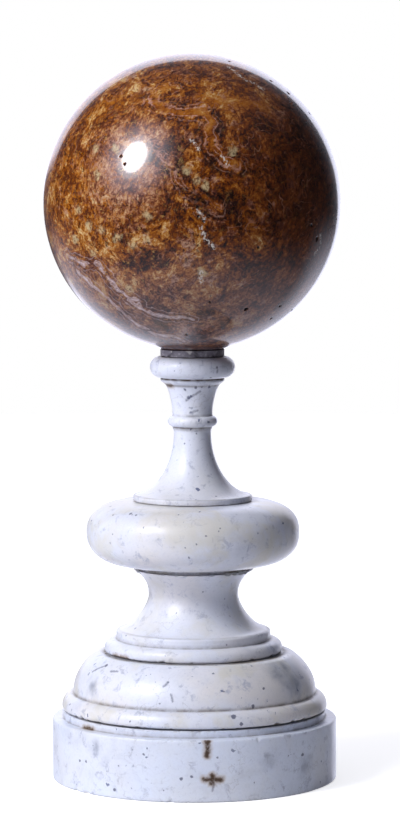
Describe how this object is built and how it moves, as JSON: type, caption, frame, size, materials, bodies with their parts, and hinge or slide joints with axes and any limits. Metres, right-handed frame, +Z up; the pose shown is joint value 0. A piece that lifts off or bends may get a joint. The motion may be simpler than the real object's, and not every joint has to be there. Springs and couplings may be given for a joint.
{
  "type": "decorative sphere",
  "caption": "Polished alabaster sphere on a turned marble stand with a round plinth, dome, waisted spool, bun knop and slender baluster.",
  "frame": {"origin": "centre of the plinth's flat underside, on the stand's axis", "axes": "+Z up along the axis of the stand; every piece is round about it, so +X and +Y are any two directions across"},
  "size_m": [0.2, 0.2, 0.4871],
  "materials": {
    "marble": "turned white marble, worn to a soft satin polish, with grey-blue specks and brown dirt in the joints",
    "grey_stone": "honed grey stone, matt",
    "alabaster": "high polish over brown and amber banded stone"
  },
  "bodies": {
    "root": {"plinth": "marble", "domed_base": "marble", "spool": "marble", "bun": "marble", "baluster": "marble", "seat_disc": "grey_stone", "sphere": "alabaster"}
  },
  "joints": []
}
